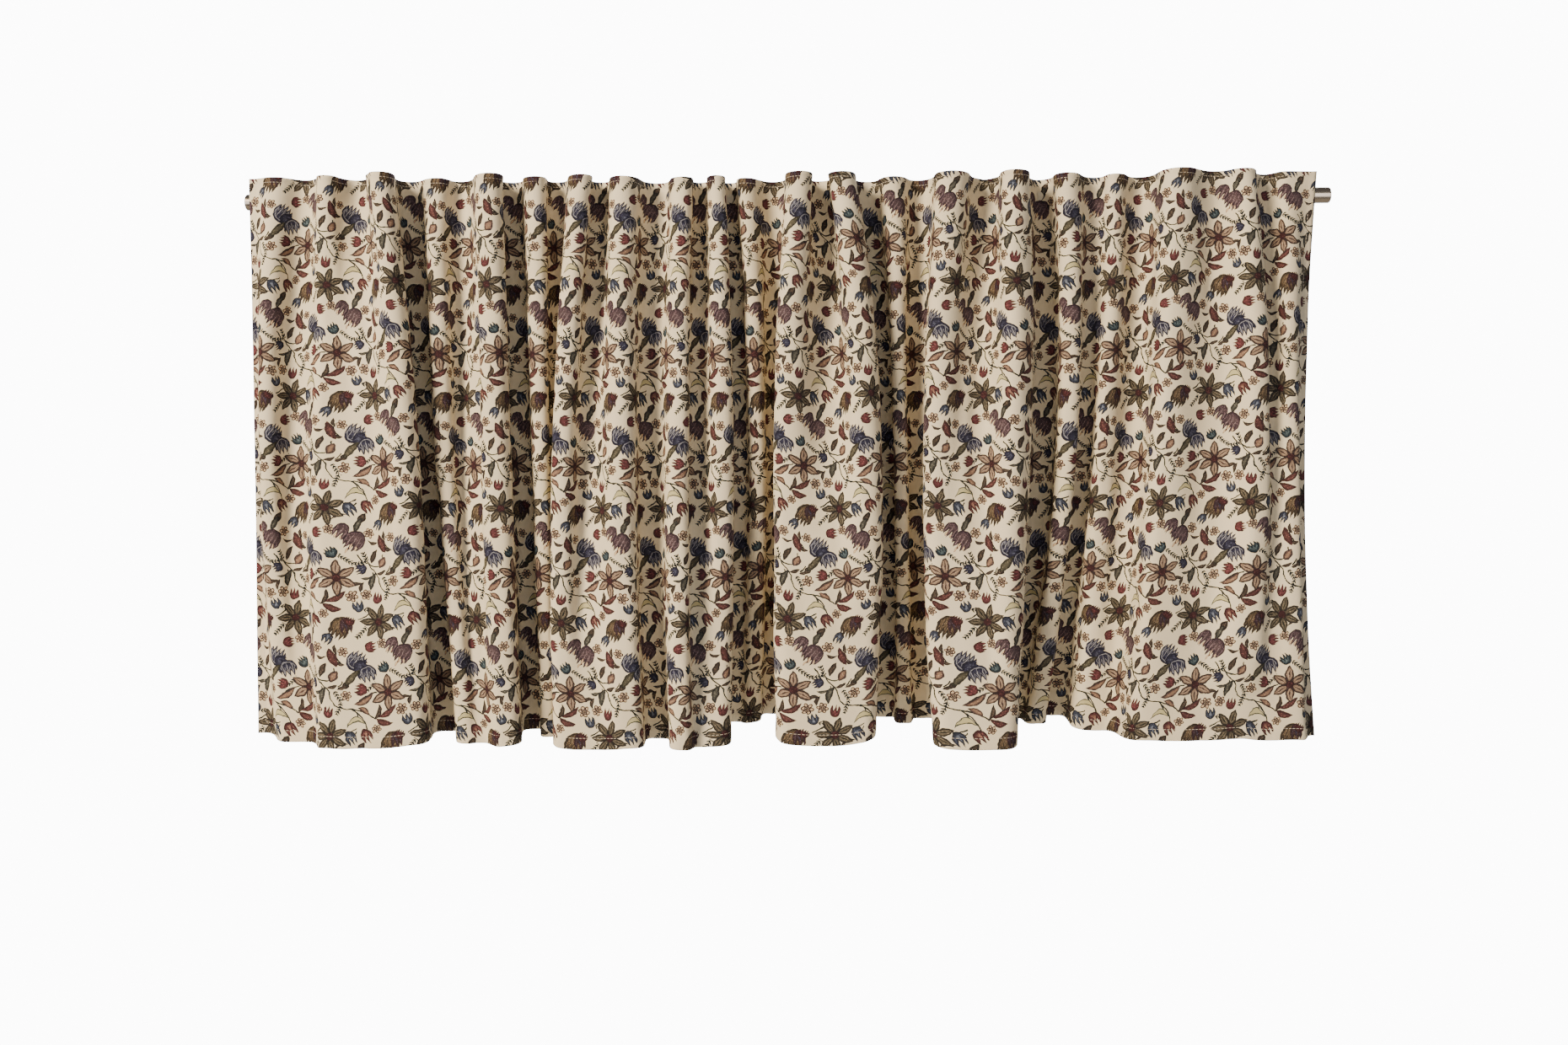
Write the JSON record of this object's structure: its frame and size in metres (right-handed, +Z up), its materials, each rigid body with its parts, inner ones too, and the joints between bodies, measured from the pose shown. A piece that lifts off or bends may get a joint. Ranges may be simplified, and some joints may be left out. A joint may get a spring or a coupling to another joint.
{
  "type": "window valance on a curtain rod",
  "caption": "Short printed cotton window valance hanging in soft uneven folds from a plain round curtain rod, held by small back tabs.",
  "frame": {"origin": "on the rod's axis at the middle of the rod's length", "axes": "+X along the rod to the right as seen from the room, -Y into the room (printed face), +Y towards the wall, +Z up"},
  "size_m": [1.077, 0.1222, 0.5521],
  "materials": {
    "rod_metal": "dark bronze, smooth and half bright",
    "printed_cotton": "cream cotton with an allover floral print, plain weave, matte",
    "plain_cotton": "plain cream cotton tape, matte"
  },
  "bodies": {
    "root": {"rod": "rod_metal", "valance_cloth": "printed_cotton", "back_tab_01": "plain_cotton", "back_tab_02": "plain_cotton", "back_tab_03": "plain_cotton", "back_tab_04": "plain_cotton", "back_tab_05": "plain_cotton", "back_tab_06": "plain_cotton", "back_tab_07": "plain_cotton", "back_tab_08": "plain_cotton", "back_tab_09": "plain_cotton"}
  },
  "joints": []
}
